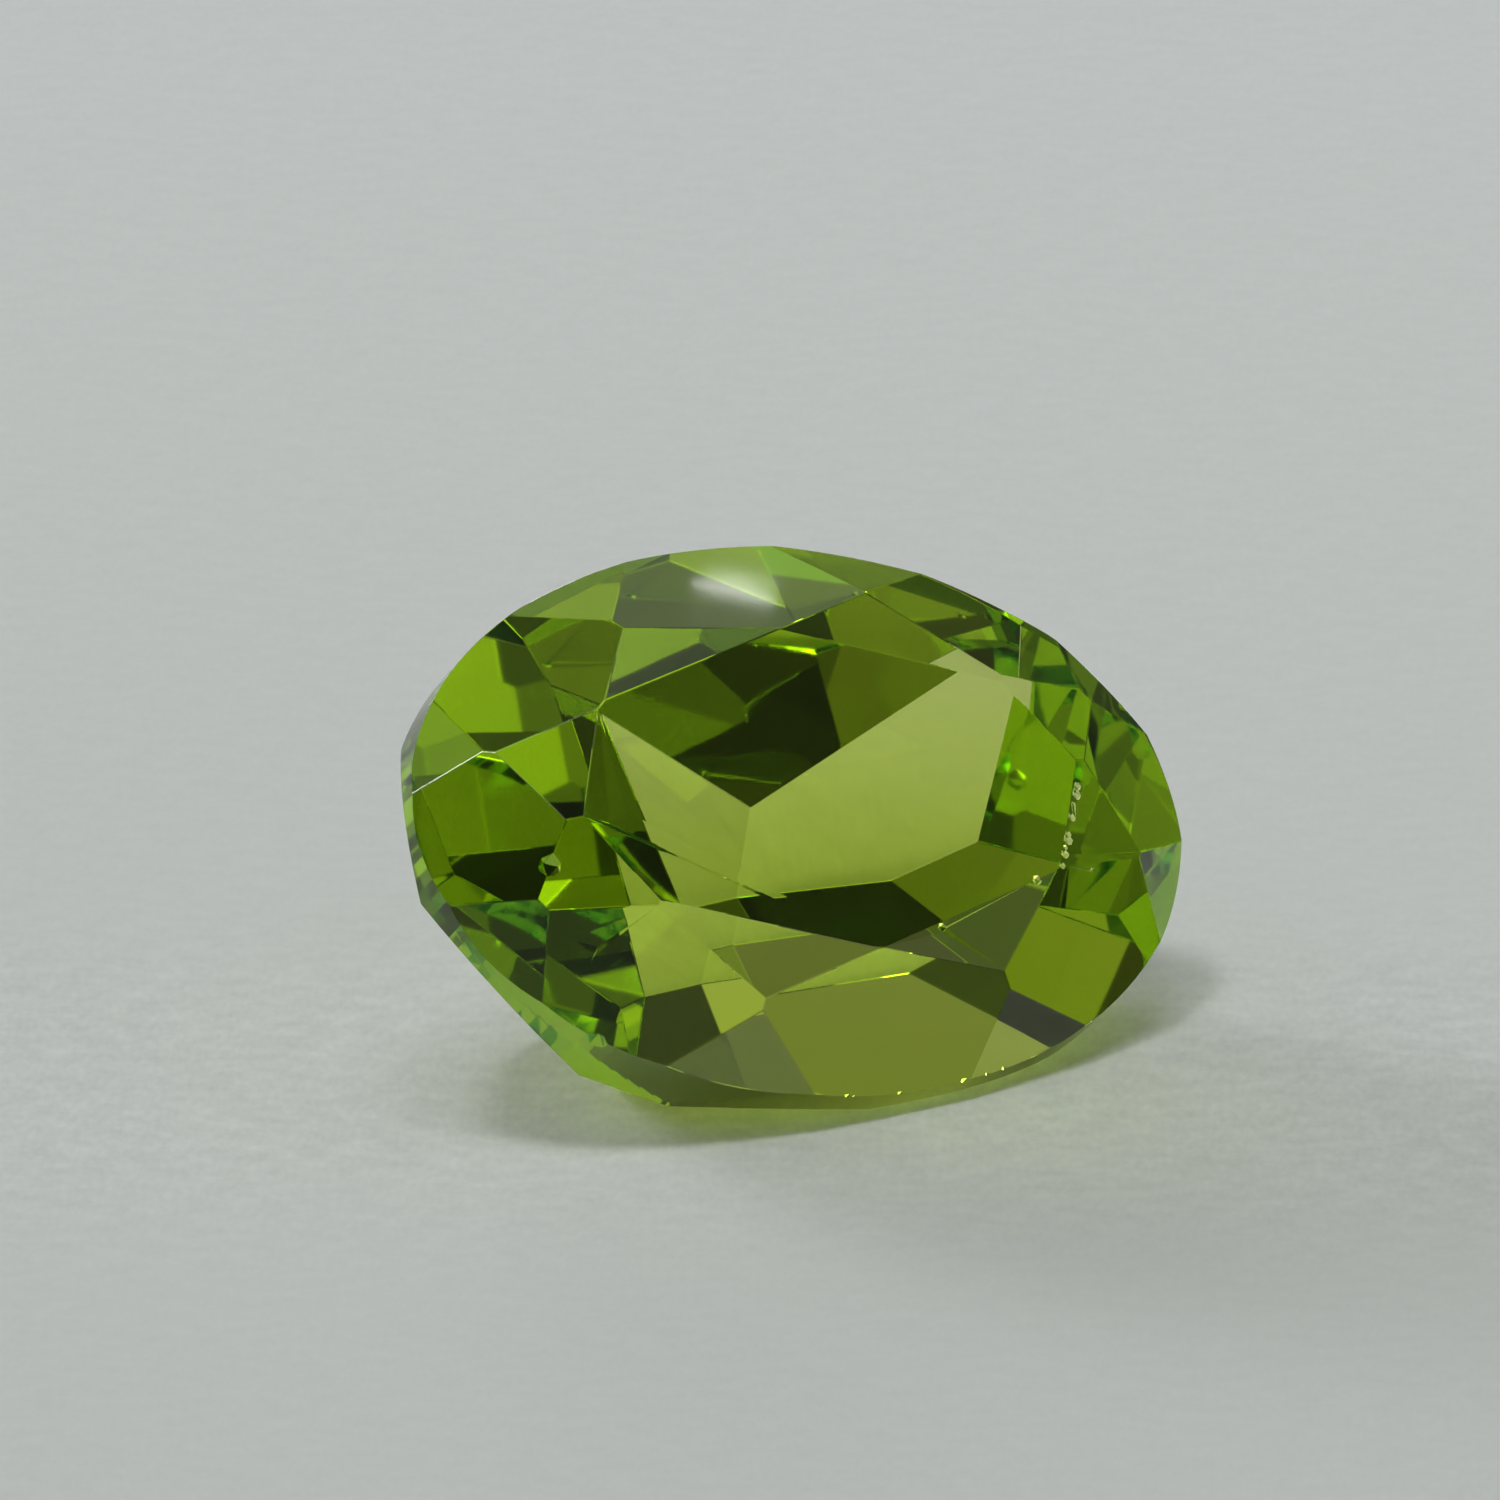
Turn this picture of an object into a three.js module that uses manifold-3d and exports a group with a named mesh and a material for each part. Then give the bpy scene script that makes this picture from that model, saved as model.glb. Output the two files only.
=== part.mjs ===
// A loose oval brilliant, cut from one clear green crystal and lying on a facet of its pavilion.
// Millimetres, +Z up. The origin is on the surface that the stone lies on, under the middle of the stone.

import * as THREE from "three";
import { mergeVertices } from "three/addons/utils/BufferGeometryUtils.js";
import Module from "manifold-3d";

const wasm = await Module();
wasm.setup();

// The outline and heights of the cut. While it is cut the stone stands with its table up, its length
// along X and its width along Y, and z = 0 is the edge between the crown and the girdle.
const LENGTH = 7.2;
const WIDTH = 5.0;
const CROWN_HEIGHT = 0.55;
const OUTLINE_STEPS = 144;

// How far a facet of the mains or breaks bites into the outline at the girdle's edge.
const BITE = 0.05;

// The crown's tiers. Azimuths are the ways the facets face, from +X towards +Y, and slopes are from the
// girdle's plane. The hand of the cutter put some facets a few degrees off their even places.
const CROWN_MAINS = [
  { azimuths: [-2, 177], slope: 26.5 },
  { azimuths: [57, 127, -124, -57], slope: 28 },
  { azimuths: [92, -90], slope: 29 },
];
const CROWN_BREAKS = [
  { azimuths: [30.5, 148, -148, -31], slope: 35.5 },
  { azimuths: [74, 106, -107, -73], slope: 36.5 },
];
// Stars rise to the table's edge, so their place is its distance from the middle of the table.
const STARS = [
  { azimuths: [30, 153, -151, -28], slope: 16, table: 2.1 },
  { azimuths: [71, 105, -108, -74], slope: 14, table: 1.4 },
];

// The pavilion's facets, each as the cutter left it: the way it faces, its slope from the girdle's
// plane, and the girdle's height where it meets the middle of the facet.
const PAVILION_MAINS = [
  { azimuth: 1, slope: 70.5, girdle: 0.29 },
  { azimuth: 76, slope: 37.5, girdle: 0.72 },
  { azimuth: 95.5, slope: 40, girdle: 0.60 },
  { azimuth: 132.5, slope: 41, girdle: 0.41 },
  { azimuth: 168.5, slope: 50.5, girdle: 0.22 },
  { azimuth: -116, slope: 54.5, girdle: 0.60 },
  { azimuth: -82.5, slope: 47, girdle: 0.26 },
  { azimuth: -57.5, slope: 48, girdle: 0.38 },
];
const PAVILION_BREAKS = [
  { azimuth: 4.5, slope: 56.5, girdle: 0.16 },
  { azimuth: 87, slope: 47, girdle: 0.18 },
  { azimuth: 91.5, slope: 51, girdle: 0.22 },
  { azimuth: 140.5, slope: 47.5, girdle: 0.44 },
  { azimuth: -152.5, slope: 45.5, girdle: 0.26 },
  { azimuth: -97.5, slope: 69, girdle: 0.96 },
  { azimuth: -95.5, slope: 59, girdle: 0.33 },
  { azimuth: -30, slope: 60, girdle: 0.31 },
];

// Wear: nicks broken out of the table's near edge and of the girdle's lower edge, in the cut stone's
// own place. Their sizes take turns along each worn stretch. The shares are of the way along the table's
// edge, and the turns are of the oval's own angle, in degrees.
const NICK_SIZES = [0.05, 0.04, 0.06, 0.03];
const TABLE_WEAR = {
  from: [2.36, -0.12],
  to: [1.9, -0.9],
  shares: [0.08, 0.13, 0.18, 0.28, 0.43, 0.62, 0.68, 0.77, 0.84, 0.97],
};
const GIRDLE_WEAR = { turns: [-97, -96, -89, -88, -79, -75, -72, -70.5, -67, -65] };
const LONE_NICKS = [
  { at: [1.62, -0.98, CROWN_HEIGHT], size: 0.05 },
  { at: [0.59, -1.31, CROWN_HEIGHT], size: 0.05 },
  { at: [2.26, -0.9, 0.46], size: 0.04 },
  { at: [-2.7, -0.38, 0.43], size: 0.12 },
  { at: [-2.54, -1.77, -0.03], size: 0.12 },
];

// Fine scratches, two on the table and two on the crown's front left main, from place to place in plan.
const SCRATCH_WIDTH = 0.02;
const SCRATCHED_MAIN = { azimuth: -124, slope: 28 };
const TABLE_SCRATCHES = [
  { from: [-1.78, 0.07], to: [-2.16, -0.13] },
  { from: [-1.55, 0.17], to: [-1.81, 0.02] },
];
const MAIN_SCRATCHES = [
  { from: [-2.63, -0.87], to: [-2.78, -1.1] },
  { from: [-2.48, -1.09], to: [-2.55, -1.19] },
];

// The stone lies on this facet. Its table leans this way, from +X towards +Y.
const RESTING_FACET = PAVILION_MAINS[6];
const TABLE_LEAN = -52.5;

// A closed geometry as a solid that can be cut.
function solid(geometry) {
  geometry.deleteAttribute("normal");
  geometry.deleteAttribute("uv");
  const merged = mergeVertices(geometry);
  const vertProperties = new Float32Array(merged.attributes.position.array);
  const triVerts = new Uint32Array(merged.index.array);
  return new wasm.Manifold(new wasm.Mesh({ numProp: 3, vertProperties, triVerts }));
}

// A solid's surface as a geometry with flat faces.
function surface(body) {
  const mesh = body.getMesh();
  const geometry = new THREE.BufferGeometry();
  geometry.setAttribute("position", new THREE.Float32BufferAttribute(mesh.vertProperties, mesh.numProp));
  geometry.setIndex(new THREE.Uint32BufferAttribute(mesh.triVerts, 1));
  return geometry;
}

function radians(degrees) {
  return THREE.MathUtils.degToRad(degrees);
}

// The way a facet faces: up on the crown, down on the pavilion.
function facing(azimuth, slope, side) {
  const around = radians(azimuth);
  const tilt = radians(slope);
  const out = Math.sin(tilt);
  return new THREE.Vector3(out * Math.cos(around), out * Math.sin(around), side * Math.cos(tilt));
}

// Distance from the stone's axis to the line that touches the oval outline and faces an azimuth.
function outlineReach(azimuth) {
  const around = radians(azimuth);
  return Math.hypot((LENGTH / 2) * Math.cos(around), (WIDTH / 2) * Math.sin(around));
}

// The block that a cut takes away: everything past the plane through a point.
function beyond(normal, point) {
  const size = 3 * LENGTH;
  const block = new THREE.BoxGeometry(size, size, size);
  block.translate(0, 0, size / 2);
  block.applyQuaternion(new THREE.Quaternion().setFromUnitVectors(new THREE.Vector3(0, 0, 1), normal));
  block.translate(point.x, point.y, point.z);
  return solid(block);
}

// The rough oval column that the facets are ground on.
function preform() {
  const outline = new THREE.Shape();
  outline.absellipse(0, 0, LENGTH / 2, WIDTH / 2, 0, 2 * Math.PI);
  const column = new THREE.ExtrudeGeometry(outline, {
    depth: WIDTH + CROWN_HEIGHT,
    bevelEnabled: false,
    curveSegments: OUTLINE_STEPS / 2,
  });
  column.translate(0, 0, -WIDTH);
  return solid(column);
}

// One ground facet: its plane crosses a height at a distance from the axis.
function cut(azimuth, slope, side, distance, height) {
  const around = radians(azimuth);
  const point = new THREE.Vector3(distance * Math.cos(around), distance * Math.sin(around), height);
  return beyond(facing(azimuth, slope, side), point);
}

function crownCuts() {
  const edgeCuts = [...CROWN_MAINS, ...CROWN_BREAKS].flatMap(({ azimuths, slope }) =>
    azimuths.map((azimuth) => cut(azimuth, slope, 1, outlineReach(azimuth) - BITE, 0)));
  const starCuts = STARS.flatMap(({ azimuths, slope, table }) =>
    azimuths.map((azimuth) => cut(azimuth, slope, 1, table, CROWN_HEIGHT)));
  return [...edgeCuts, ...starCuts];
}

function pavilionCuts() {
  return [...PAVILION_MAINS, ...PAVILION_BREAKS].map(({ azimuth, slope, girdle }) =>
    cut(azimuth, slope, -1, outlineReach(azimuth) - BITE, -girdle));
}

// A nick: a small rough bite whose middle is a little outside the edge.
function nick(at, size) {
  const point = new THREE.Vector3(...at);
  const middle = point.clone().addScaledVector(point.clone().normalize(), size / 2);
  const bite = new THREE.IcosahedronGeometry(size, 0);
  bite.translate(middle.x, middle.y, middle.z);
  return solid(bite);
}

// A scratch from one point of a facet to another: a shallow groove with two slanted sides.
function scratch(start, end, out) {
  const along = end.clone().sub(start);
  const across = new THREE.Vector3().crossVectors(out, along).normalize();
  const side = SCRATCH_WIDTH / Math.SQRT2;
  const groove = new THREE.BoxGeometry(along.length(), side, side);
  groove.rotateX(Math.PI / 4);
  groove.applyMatrix4(new THREE.Matrix4().makeBasis(along.clone().normalize(), across, out));
  const middle = start.clone().add(end).divideScalar(2).addScaledVector(out, SCRATCH_WIDTH / 4);
  groove.translate(middle.x, middle.y, middle.z);
  return solid(groove);
}

function scratches() {
  const onTable = ([x, y]) => new THREE.Vector3(x, y, CROWN_HEIGHT);
  const { azimuth, slope } = SCRATCHED_MAIN;
  const onMain = ([x, y]) => {
    const out = x * Math.cos(radians(azimuth)) + y * Math.sin(radians(azimuth));
    return new THREE.Vector3(x, y, (outlineReach(azimuth) - BITE - out) * Math.tan(radians(slope)));
  };
  return [
    ...TABLE_SCRATCHES.map(({ from, to }) => scratch(onTable(from), onTable(to), facing(0, 0, 1))),
    ...MAIN_SCRATCHES.map(({ from, to }) => scratch(onMain(from), onMain(to), facing(azimuth, slope, 1))),
  ];
}

// The nicks of a worn stretch.
function wornStretch(places) {
  return places.map((place, step) => nick(place, NICK_SIZES[step % NICK_SIZES.length]));
}

function nicks() {
  const { from, to, shares } = TABLE_WEAR;
  const alongTable = shares.map((share) => [
    THREE.MathUtils.lerp(from[0], to[0], share), THREE.MathUtils.lerp(from[1], to[1], share), CROWN_HEIGHT,
  ]);
  const alongGirdle = GIRDLE_WEAR.turns.map((turn) => [
    (LENGTH / 2) * Math.cos(radians(turn)), (WIDTH / 2) * Math.sin(radians(turn)), 0,
  ]);
  return [
    ...wornStretch(alongTable),
    ...wornStretch(alongGirdle),
    ...LONE_NICKS.map(({ at, size }) => nick(at, size)),
  ];
}

function cutStone() {
  const cuts = [...crownCuts(), ...pavilionCuts(), ...nicks(), ...scratches()];
  return cuts.reduce((stone, block) => stone.subtract(block), preform());
}

// Turns the cut stone so that its resting facet faces straight down and its table leans to the right.
function restingTurn() {
  const down = new THREE.Vector3(0, 0, -1);
  const rest = facing(RESTING_FACET.azimuth, RESTING_FACET.slope, -1);
  const lay = new THREE.Quaternion().setFromUnitVectors(rest, down);
  const table = new THREE.Vector3(0, 0, 1).applyQuaternion(lay);
  const turn = radians(TABLE_LEAN) - Math.atan2(table.y, table.x);
  return new THREE.Quaternion().setFromAxisAngle(new THREE.Vector3(0, 0, 1), turn).multiply(lay);
}

function stoneMesh() {
  const material = new THREE.MeshStandardMaterial({ color: 0x86a02c, roughness: 0.05, metalness: 0 });
  const mesh = new THREE.Mesh(surface(cutStone()), material);
  mesh.name = "peridot";
  mesh.quaternion.copy(restingTurn());
  mesh.updateMatrixWorld();
  const box = new THREE.Box3().setFromObject(mesh, true);
  const middle = box.getCenter(new THREE.Vector3());
  mesh.position.set(-middle.x, -middle.y, -box.min.z);
  return mesh;
}

const stone = new THREE.Group();
stone.add(stoneMesh());

export default stone;
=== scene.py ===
import math

import bmesh
import bpy
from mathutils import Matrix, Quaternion, Vector


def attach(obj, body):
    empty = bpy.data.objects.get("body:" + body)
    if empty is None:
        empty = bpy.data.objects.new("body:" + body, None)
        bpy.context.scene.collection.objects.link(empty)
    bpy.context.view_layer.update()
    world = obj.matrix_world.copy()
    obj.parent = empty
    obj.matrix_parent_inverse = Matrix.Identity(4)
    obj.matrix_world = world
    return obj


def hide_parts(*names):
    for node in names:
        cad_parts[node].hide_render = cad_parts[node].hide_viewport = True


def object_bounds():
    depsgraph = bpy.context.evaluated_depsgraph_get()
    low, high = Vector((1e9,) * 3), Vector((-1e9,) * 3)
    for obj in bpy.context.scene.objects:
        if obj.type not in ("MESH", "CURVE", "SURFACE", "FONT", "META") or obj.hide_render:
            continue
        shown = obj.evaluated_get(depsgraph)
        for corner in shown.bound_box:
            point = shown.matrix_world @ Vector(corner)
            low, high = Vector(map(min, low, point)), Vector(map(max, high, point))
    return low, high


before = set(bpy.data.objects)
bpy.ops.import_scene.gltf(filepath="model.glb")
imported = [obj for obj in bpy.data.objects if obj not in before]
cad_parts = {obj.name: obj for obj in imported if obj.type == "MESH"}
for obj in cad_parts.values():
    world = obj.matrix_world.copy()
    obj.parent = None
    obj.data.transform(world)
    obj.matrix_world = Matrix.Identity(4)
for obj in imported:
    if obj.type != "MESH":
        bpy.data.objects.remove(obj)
cad_low, cad_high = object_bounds()

MM = 0.001

# The photograph's frame and where the middle of the stone's box falls in it.
PHOTO_SIZE = 1500
PIXELS_PER_MM = 123.0
BOX_CENTRE_PIXEL = (793.7, 816.2)

# The camera, a long lens well away from the stone, and how near and how far it sees, in metres.
CAMERA_DISTANCE = 216.3 * MM
CAMERA_AZIMUTH = 0.14
CAMERA_ELEVATION = 18.57
SENSOR = 36.0
NEAREST_SEEN, FARTHEST_SEEN = 0.01, 5.0

# Peridot. Light is lost over each metre of its way through the crystal, most in blue and least in green.
PERIDOT_IOR = 1.67
LOSS_PER_METRE = (126.0, 55.0, 680.0)
POLISH_ROUGHNESS = 0.03
# The polish isn't dead flat: shallow waves this far apart and this high, which soften what is seen inside.
WAVE_LENGTH = 1.2 * MM
WAVE_HEIGHT = 0.0012 * MM
WAVE_DETAIL = 1
GIRDLE_ROUGHNESS = 0.15

# The softened junctions between facets, round in section, and how near to each other corners are
# taken as one.
EDGE_WIDTH = 0.008 * MM
EDGE_STEPS = 2
ROUND = 0.5
CORNER_GAP = 0.008 * MM
# Faces that meet at less than this angle are one facet.
FLAT_ANGLE = math.radians(0.4)
# Only junctions between whole facets are softened: those that bend more than this, between faces
# larger than this. The edges of nicks and scratches stay sharp.
BEND_ANGLE = math.radians(3)
FACET_AREA = 0.05 * MM * MM
# How far, as a sine, a face of the girdle may lean from square to the table.
GIRDLE_LEAN = 0.02

# How often light may turn inside the crystal before it is given up.
INNER_TURNS = 32

# The paper, a hair below the facet that lies on it so that the two faces don't share a place.
FLOOR_RADIUS = 0.6
FLOOR_SIDES = 96
FLOOR_DROP = 0.04 * MM
PAPER_ROUGHNESS = 0.9
# The paper's colour in front of the stone and far behind it. The near one is darker and the far one
# lighter. This is painted light fall-off, not a tone of the paper itself.
PAPER_PAINTED_SHADE_NEAR = (0.785, 0.825, 0.79)
PAPER_PAINTED_LIGHT_FAR = (0.86, 0.90, 0.88)
# Painted light fall-off: between these depths the paper's colour turns from the darker near colour,
# painted shade, to the lighter far colour, painted light.
PAINTED_FALLOFF_FROM, PAINTED_FALLOFF_TO = -12 * MM, 27 * MM
# The depth at which its grain is at its clearest, how far from there it starts to fade, where it has
# faded, and its contrast at both.
GRAIN_MIDDLE = -1 * MM
GRAIN_SHARP, GRAIN_REACH = 1 * MM, 5 * MM
GRAIN_CONTRAST = 0.22
FADED_CONTRAST = 0.3 * GRAIN_CONTRAST
# The size and detail of its grain and its fibres, how far they are stretched along each axis, and the
# fibres' turn in degrees.
GRAIN_LENGTH, GRAIN_DETAIL = 0.06 * MM, 4
FIBRE_LENGTH, FIBRE_DETAIL = 0.08 * MM, 2
GRAIN_STRETCH = (1, 3, 1)
FIBRE_STRETCH = (4, 3, 1)
FIBRE_TURN = 25

# The room as soft patches of light: azimuth from the camera's side towards its right, elevation,
# how tightly the patch is gathered, and its brightness.
SMALL, MIDDLING, BROAD, WHOLE_SIDE = 200, 60, 20, 2
# Lights high over the stone. Half of the paper's light is theirs, so the stone's pale windows, through
# which the paper shows, have much of theirs from here too.
OVERHEAD = [
    (-65, 75, SMALL, 20),
    (15, 80, SMALL, 7.5),
    (125, 80, SMALL, 1.3),
    (160, 80, SMALL, 0.45),
]
# Lights behind the stone. They give the paper a third of its light, and the lower front facets and the
# greens at the left most of theirs.
BEHIND = [
    (-130, 15, MIDDLING, 14),
    (-170, 15, MIDDLING, 4.5),
    (-95, 35, MIDDLING, 1.7),
    (130, 65, MIDDLING, 0.6),
    (165, 45, MIDDLING, 0.5),
    (-175, 40, SMALL, 0.2),
]
# Weaker lights in front and at the right, mostly for the right of the crown and the table's top left.
IN_FRONT = [
    (15, 40, SMALL, 1.5),
    (80, 20, SMALL, 0.8),
    (70, 40, SMALL, 0.75),
    (80, 60, SMALL, 0.75),
    (55, 15, MIDDLING, 0.7),
    (-45, 40, BROAD, 0.5),
    (15, 10, BROAD, 0.4),
    (-15, 35, SMALL, 0.3),
]
# A faint wide glow at the right, which lifts the dark facets a little.
GLOW = [(130, 20, WHOLE_SIDE, 0.05)]

# The lamp whose mirror image gleams on the top facet: where the gleam sits, the azimuth and elevation
# of the way from there to the lamp, and the lamp's distance, roll in degrees, size and brightness.
GLEAM = (-0.48 * MM, 0.73 * MM, 3.60 * MM)
LAMP_WAY = (162.85, 40.22)
LAMP_DISTANCE = 60 * MM
LAMP_ROLL = 25
LAMP_WIDTH, LAMP_HEIGHT = 0.9 * MM, 0.18 * MM
LAMP_BRIGHTNESS = 4.0


def link(name, data):
    """An object in the scene made from a mesh, a camera or a light."""
    piece = bpy.data.objects.new(name, data)
    bpy.context.scene.collection.objects.link(piece)
    return piece


def towards(azimuth, elevation):
    """The direction from the stone to a place in the room. Azimuth 0 is the camera's side."""
    around, rise = math.radians(azimuth), math.radians(elevation)
    return Vector((math.sin(around) * math.cos(rise), -math.cos(around) * math.cos(rise), math.sin(rise)))


def place_camera():
    """The photograph's view: its angle, its scale, and the stone at its place in the picture."""
    data = bpy.data.cameras.new("camera")
    data.sensor_width = SENSOR
    data.lens = PIXELS_PER_MM * (CAMERA_DISTANCE / MM) / PHOTO_SIZE * SENSOR
    data.clip_start = NEAREST_SEEN
    data.clip_end = FARTHEST_SEEN
    away = towards(CAMERA_AZIMUTH, CAMERA_ELEVATION)
    turn = (-away).to_track_quat("-Z", "Y")
    right = turn @ Vector((1, 0, 0))
    up = turn @ Vector((0, 1, 0))
    beside = (BOX_CENTRE_PIXEL[0] - PHOTO_SIZE / 2) / PIXELS_PER_MM * MM
    below = (BOX_CENTRE_PIXEL[1] - PHOTO_SIZE / 2) / PIXELS_PER_MM * MM
    aim = (cad_low + cad_high) / 2 - right * beside + up * below
    camera = link("camera", data)
    camera.rotation_mode = "QUATERNION"
    camera.rotation_quaternion = turn
    camera.location = aim + away * CAMERA_DISTANCE
    bpy.context.scene.camera = camera


def noise(nodes, links, place, length, detail):
    """Smooth noise from 0 to 1 whose features are about a length across."""
    texture = nodes.new("ShaderNodeTexNoise")
    texture.inputs["Scale"].default_value = 1 / length
    texture.inputs["Detail"].default_value = detail
    links.new(place, texture.inputs["Vector"])
    return texture.outputs[0]


def waves(nodes, links):
    """The surface direction of a polished facet with its shallow waves."""
    place = nodes.new("ShaderNodeTexCoord").outputs["Object"]
    bump = nodes.new("ShaderNodeBump")
    bump.inputs["Strength"].default_value = 1.0
    bump.inputs["Distance"].default_value = WAVE_HEIGHT
    links.new(noise(nodes, links, place, WAVE_LENGTH, WAVE_DETAIL), bump.inputs["Height"])
    return bump.outputs["Normal"]


def crystal(name, roughness):
    """Clear green crystal: plain transmission, with the loss of colour in its volume."""
    material = bpy.data.materials.new(name)
    material.use_nodes = True
    nodes, links = material.node_tree.nodes, material.node_tree.links
    shader = nodes["Principled BSDF"]
    shader.inputs["Base Color"].default_value = (1, 1, 1, 1)
    shader.inputs["Transmission Weight"].default_value = 1.0
    shader.inputs["IOR"].default_value = PERIDOT_IOR
    shader.inputs["Roughness"].default_value = roughness
    links.new(waves(nodes, links), shader.inputs["Normal"])
    volume = nodes.new("ShaderNodeVolumeAbsorption")
    density = max(LOSS_PER_METRE)
    volume.inputs["Density"].default_value = density
    volume.inputs["Color"].default_value = (*(1 - loss / density for loss in LOSS_PER_METRE), 1)
    links.new(volume.outputs["Volume"], nodes["Material Output"].inputs["Volume"])
    return material


def on_girdle(face, axis):
    """Whether a face belongs to the girdle, whose faces stand square to the table."""
    return abs(face.normal.dot(axis)) < GIRDLE_LEAN


def polished_stone():
    """The stone with whole facets and softened junctions, made from its solid."""
    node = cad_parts["peridot"]
    shape = bmesh.new()
    shape.from_mesh(node.data)
    bmesh.ops.remove_doubles(shape, verts=shape.verts, dist=CORNER_GAP)
    bmesh.ops.dissolve_limit(shape, angle_limit=FLAT_ANGLE, verts=shape.verts, edges=shape.edges)
    table = max(shape.faces, key=lambda face: face.calc_area())
    axis = table.normal.copy()
    for face in shape.faces:
        face.material_index = 1 if on_girdle(face, axis) else 0
    soft = [edge for edge in shape.edges
            if edge.calc_face_angle() > BEND_ANGLE
            and min(face.calc_area() for face in edge.link_faces) > FACET_AREA]
    bmesh.ops.bevel(shape, geom=soft, offset=EDGE_WIDTH, segments=EDGE_STEPS, profile=ROUND,
                    affect="EDGES", material=-1)
    shape.normal_update()
    # The real girdle is ground round, so its many flat faces are shaded as one.
    for face in shape.faces:
        face.smooth = on_girdle(face, axis)
    mesh = bpy.data.meshes.new("stone")
    shape.to_mesh(mesh)
    shape.free()
    piece = link("stone", mesh)
    mesh.materials.append(crystal("polished peridot", POLISH_ROUGHNESS))
    mesh.materials.append(crystal("ground peridot", GIRDLE_ROUGHNESS))
    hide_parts("peridot")
    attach(piece, "root")


def arithmetic(nodes, links, operation, *values):
    """One step of arithmetic on plain numbers and sockets."""
    step = nodes.new("ShaderNodeMath")
    step.operation = operation
    for socket, value in zip(step.inputs, values):
        if isinstance(value, (int, float)):
            socket.default_value = value
        else:
            links.new(value, socket)
    return step.outputs["Value"]


def ramp(nodes, links, value, low, high, first, last):
    """A smooth passage from first to last while the value goes from low to high."""
    passage = nodes.new("ShaderNodeMapRange")
    passage.interpolation_type = "SMOOTHSTEP"
    for socket, number in zip(passage.inputs[1:5], (low, high, first, last)):
        socket.default_value = number
    links.new(value, passage.inputs[0])
    return passage.outputs[0]


def stretched(nodes, links, place, stretch, turn):
    """Coordinates on the paper in which features come out stretched, turned by so many degrees."""
    mapping = nodes.new("ShaderNodeMapping")
    mapping.inputs["Scale"].default_value = tuple(1 / length for length in stretch)
    mapping.inputs["Rotation"].default_value = (0, 0, math.radians(turn))
    links.new(place, mapping.inputs["Vector"])
    return mapping.outputs["Vector"]


def paper():
    """Pale paper: its fine grain and fibres show round the stone and melt away nearer and further off, and
    its colour carries a painted light fall-off, darker in front and lighter behind.
    """
    material = bpy.data.materials.new("pale paper")
    material.use_nodes = True
    nodes, links = material.node_tree.nodes, material.node_tree.links
    place = nodes.new("ShaderNodeTexCoord").outputs["Object"]
    split = nodes.new("ShaderNodeSeparateXYZ")
    links.new(place, split.inputs[0])
    depth = split.outputs["Y"]
    off = arithmetic(nodes, links, "ABSOLUTE", arithmetic(nodes, links, "SUBTRACT", depth, GRAIN_MIDDLE))
    contrast = ramp(nodes, links, off, GRAIN_SHARP, GRAIN_REACH, GRAIN_CONTRAST, FADED_CONTRAST)
    along = stretched(nodes, links, place, GRAIN_STRETCH, 0)
    grain = noise(nodes, links, along, GRAIN_LENGTH, GRAIN_DETAIL)
    across = stretched(nodes, links, place, FIBRE_STRETCH, FIBRE_TURN)
    fibres = noise(nodes, links, across, FIBRE_LENGTH, FIBRE_DETAIL)
    mottle = arithmetic(nodes, links, "SUBTRACT", arithmetic(nodes, links, "ADD", grain, fibres), 1)
    tone = arithmetic(nodes, links, "MULTIPLY_ADD", mottle, contrast, 1)
    # Painted light fall-off: with depth, the paper's colour turns from darker in front to lighter behind.
    colour = nodes.new("ShaderNodeMapRange")
    colour.data_type = "FLOAT_VECTOR"
    passage = ((PAINTED_FALLOFF_FROM,) * 3, (PAINTED_FALLOFF_TO,) * 3, PAPER_PAINTED_SHADE_NEAR, PAPER_PAINTED_LIGHT_FAR)
    for socket, vector in zip(colour.inputs[7:11], passage):
        socket.default_value = vector
    links.new(depth, colour.inputs["Vector"])
    scaled = nodes.new("ShaderNodeVectorMath")
    scaled.operation = "SCALE"
    links.new(colour.outputs["Vector"], scaled.inputs[0])
    links.new(tone, scaled.inputs["Scale"])
    shader = nodes["Principled BSDF"]
    links.new(scaled.outputs["Vector"], shader.inputs["Base Color"])
    shader.inputs["Roughness"].default_value = PAPER_ROUGHNESS
    shader.inputs["Specular IOR Level"].default_value = 0.0
    return material


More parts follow.
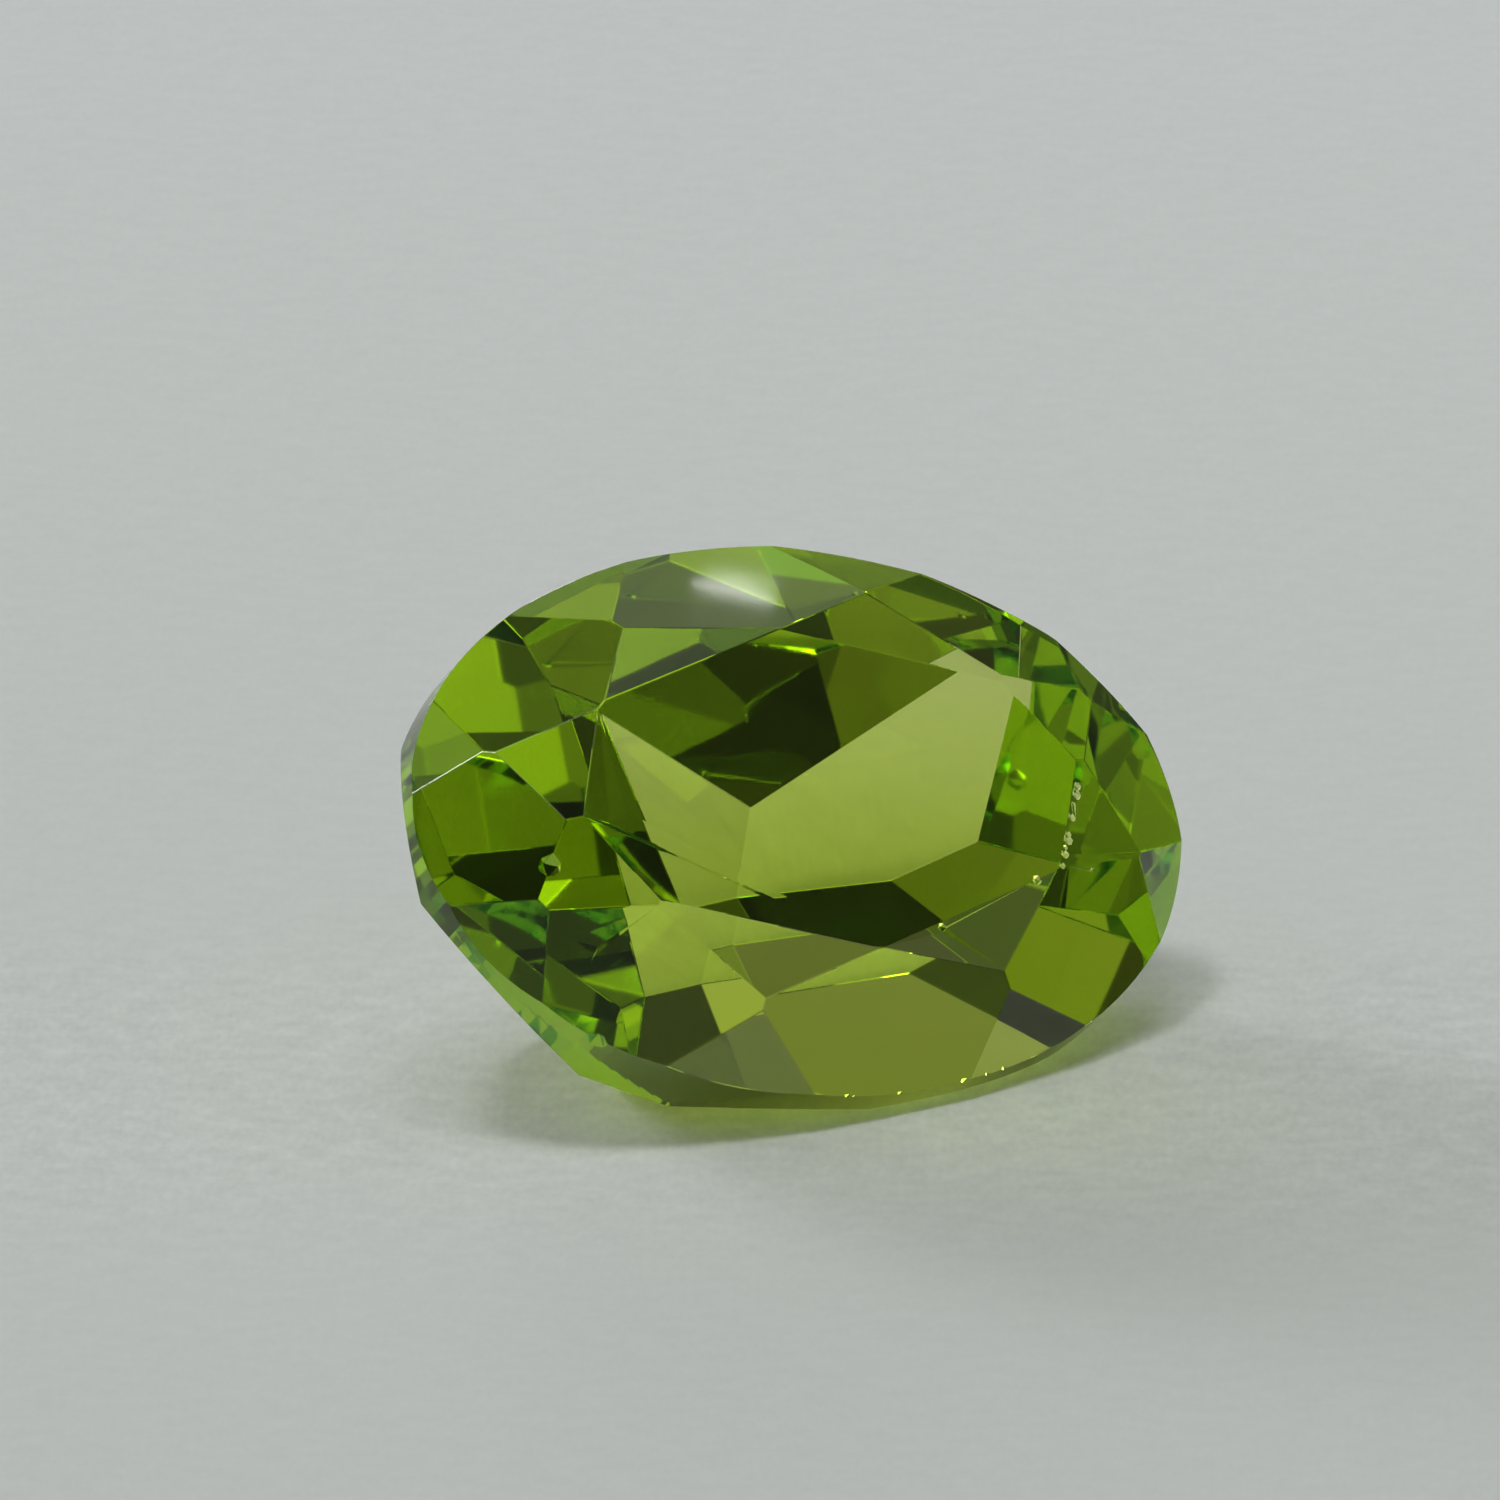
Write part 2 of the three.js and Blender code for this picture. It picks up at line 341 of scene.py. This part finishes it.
def paper_floor():
    """The sheet of paper that the stone lies on."""
    shape = bmesh.new()
    bmesh.ops.create_circle(shape, cap_ends=True, radius=FLOOR_RADIUS, segments=FLOOR_SIDES)
    mesh = bpy.data.meshes.new("floor")
    shape.to_mesh(mesh)
    shape.free()
    mesh.materials.append(paper())
    floor = link("floor", mesh)
    floor.location.z = -FLOOR_DROP


def room(patches):
    """The room's light: soft patches that fade outwards from their middles."""
    world = bpy.data.worlds.new("room")
    world.use_nodes = True
    nodes, links = world.node_tree.nodes, world.node_tree.links
    direction = nodes.new("ShaderNodeTexCoord").outputs["Generated"]
    total = 0.0
    for azimuth, elevation, gathered, brightness in patches:
        likeness = nodes.new("ShaderNodeVectorMath")
        likeness.operation = "DOT_PRODUCT"
        likeness.inputs[1].default_value = towards(azimuth, elevation)
        links.new(direction, likeness.inputs[0])
        fall = arithmetic(nodes, links, "MULTIPLY_ADD", likeness.outputs["Value"], gathered, -gathered)
        glow = arithmetic(nodes, links, "EXPONENT", fall)
        total = arithmetic(nodes, links, "MULTIPLY_ADD", glow, brightness, total)
    background = nodes["Background"]
    background.inputs["Color"].default_value = (1, 1, 1, 1)
    links.new(total, background.inputs["Strength"])
    bpy.context.scene.world = world
    bpy.context.scene.view_settings.view_transform = "Standard"


def lamp():
    """A small lamp behind the stone, turned to the place of its gleam."""
    light = bpy.data.lights.new("lamp", "AREA")
    light.shape = "ELLIPSE"
    light.size = LAMP_WIDTH
    light.size_y = LAMP_HEIGHT
    light.energy = LAMP_BRIGHTNESS * math.pi * LAMP_WIDTH * LAMP_HEIGHT
    piece = link("lamp", light)
    way = towards(*LAMP_WAY)
    piece.location = Vector(GLEAM) + way * LAMP_DISTANCE
    piece.rotation_mode = "QUATERNION"
    roll = Quaternion((0, 0, 1), math.radians(LAMP_ROLL))
    piece.rotation_quaternion = way.to_track_quat("Z", "Y") @ roll


def light_paths():
    """Lets light turn many times between the facets, as it does in the real crystal."""
    cycles = bpy.context.scene.cycles
    cycles.max_bounces = INNER_TURNS
    cycles.glossy_bounces = INNER_TURNS
    cycles.transmission_bounces = INNER_TURNS


place_camera()
polished_stone()
paper_floor()
room(OVERHEAD + BEHIND + IN_FRONT + GLOW)
lamp()
light_paths()
